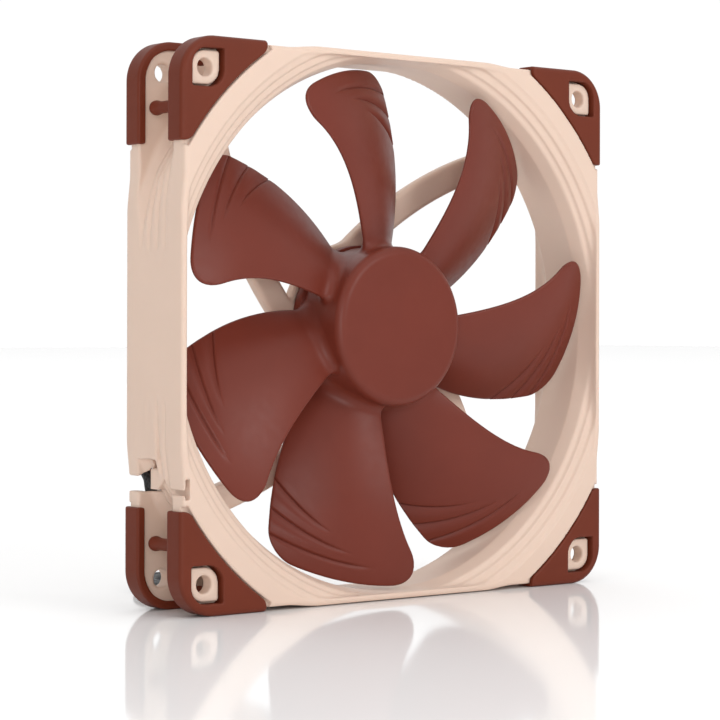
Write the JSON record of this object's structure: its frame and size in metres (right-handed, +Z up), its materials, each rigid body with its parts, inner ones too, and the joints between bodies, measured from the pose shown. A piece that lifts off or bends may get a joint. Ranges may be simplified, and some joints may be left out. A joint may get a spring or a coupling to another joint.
{
  "type": "computer case fan",
  "caption": "Square axial case fan with a swept-blade impeller on a sleeve-bearing motor, curved outlet struts, soft corner pads and a coiled lead with a plug.",
  "frame": {"origin": "centre of the fan: on the rotor axis, halfway between the intake and outlet faces", "axes": "-Y out of the intake face, +Y out of the outlet face, Z up, X to the right seen from the intake side"},
  "size_m": [0.14, 0.0765, 0.14],
  "materials": {
    "frame": "satin warm beige moulding",
    "pad_silicone": "smooth brown silicone",
    "impeller": "satin brown moulding",
    "lead_sleeve": "black heat-shrink sleeve",
    "lead_coil": "black coiled lead",
    "coil_tie": "black strap",
    "lead_boot": "black heat-shrink",
    "connector_housing": "black plug",
    "connector_contacts": "tinned brass contacts",
    "bearing_shell": "turned brass",
    "bearing_sleeve": "sintered bronze",
    "thrust_disc": "smooth white",
    "bearing_magnet": "dark ferrite",
    "oil_seal": "brown seal",
    "stator_core": "stacked sheet steel",
    "insulator_front": "ivory",
    "insulator_rear": "ivory",
    "motor_coils": "enamelled copper wire",
    "circuit_board": "green solder mask",
    "driver_chip": "black",
    "hall_sensor": "black",
    "board_components": "ceramic",
    "motor_wires": "insulated wire",
    "rear_label": "plain label",
    "rotor_yoke": "drawn steel cup",
    "rotor_magnet": "bonded ferrite",
    "shaft_bush": "turned brass",
    "shaft": "ground steel",
    "retaining_clip": "white"
  },
  "bodies": {
    "housing": {"frame": "frame", "bearing_shell": "bearing_shell", "bearing_sleeve": "bearing_sleeve", "thrust_disc": "thrust_disc", "bearing_magnet": "bearing_magnet", "oil_seal": "oil_seal", "stator_core": "stator_core", "insulator_front": "insulator_front", "insulator_rear": "insulator_rear", "motor_coils": "motor_coils", "circuit_board": "circuit_board", "driver_chip": "driver_chip", "hall_sensor": "hall_sensor", "board_components": "board_components", "motor_wires": "motor_wires", "rear_label": "rear_label", "pad_front_top_left": "pad_silicone", "pad_front_top_right": "pad_silicone", "pad_front_bottom_left": "pad_silicone", "pad_front_bottom_right": "pad_silicone", "pad_rear_top_left": "pad_silicone", "pad_rear_top_right": "pad_silicone", "pad_rear_bottom_left": "pad_silicone", "pad_rear_bottom_right": "pad_silicone", "lead_held": "lead_sleeve", "lead_free": "lead_sleeve", "lead_coil": "lead_coil", "lead_tail": "lead_sleeve", "coil_tie": "coil_tie", "lead_boot": "lead_boot", "connector_housing": "connector_housing", "connector_contacts": "connector_contacts"},
    "rotor": {"impeller": "impeller", "rotor_yoke": "rotor_yoke", "rotor_magnet": "rotor_magnet", "shaft_bush": "shaft_bush", "shaft": "shaft", "retaining_clip": "retaining_clip"}
  },
  "joints": [
    {"name": "rotor_spin", "type": "hinge", "parent": "housing", "child": "rotor", "pos_m": [0, 0, 0], "axis": [0, -1, 0], "continuous": true}
  ]
}
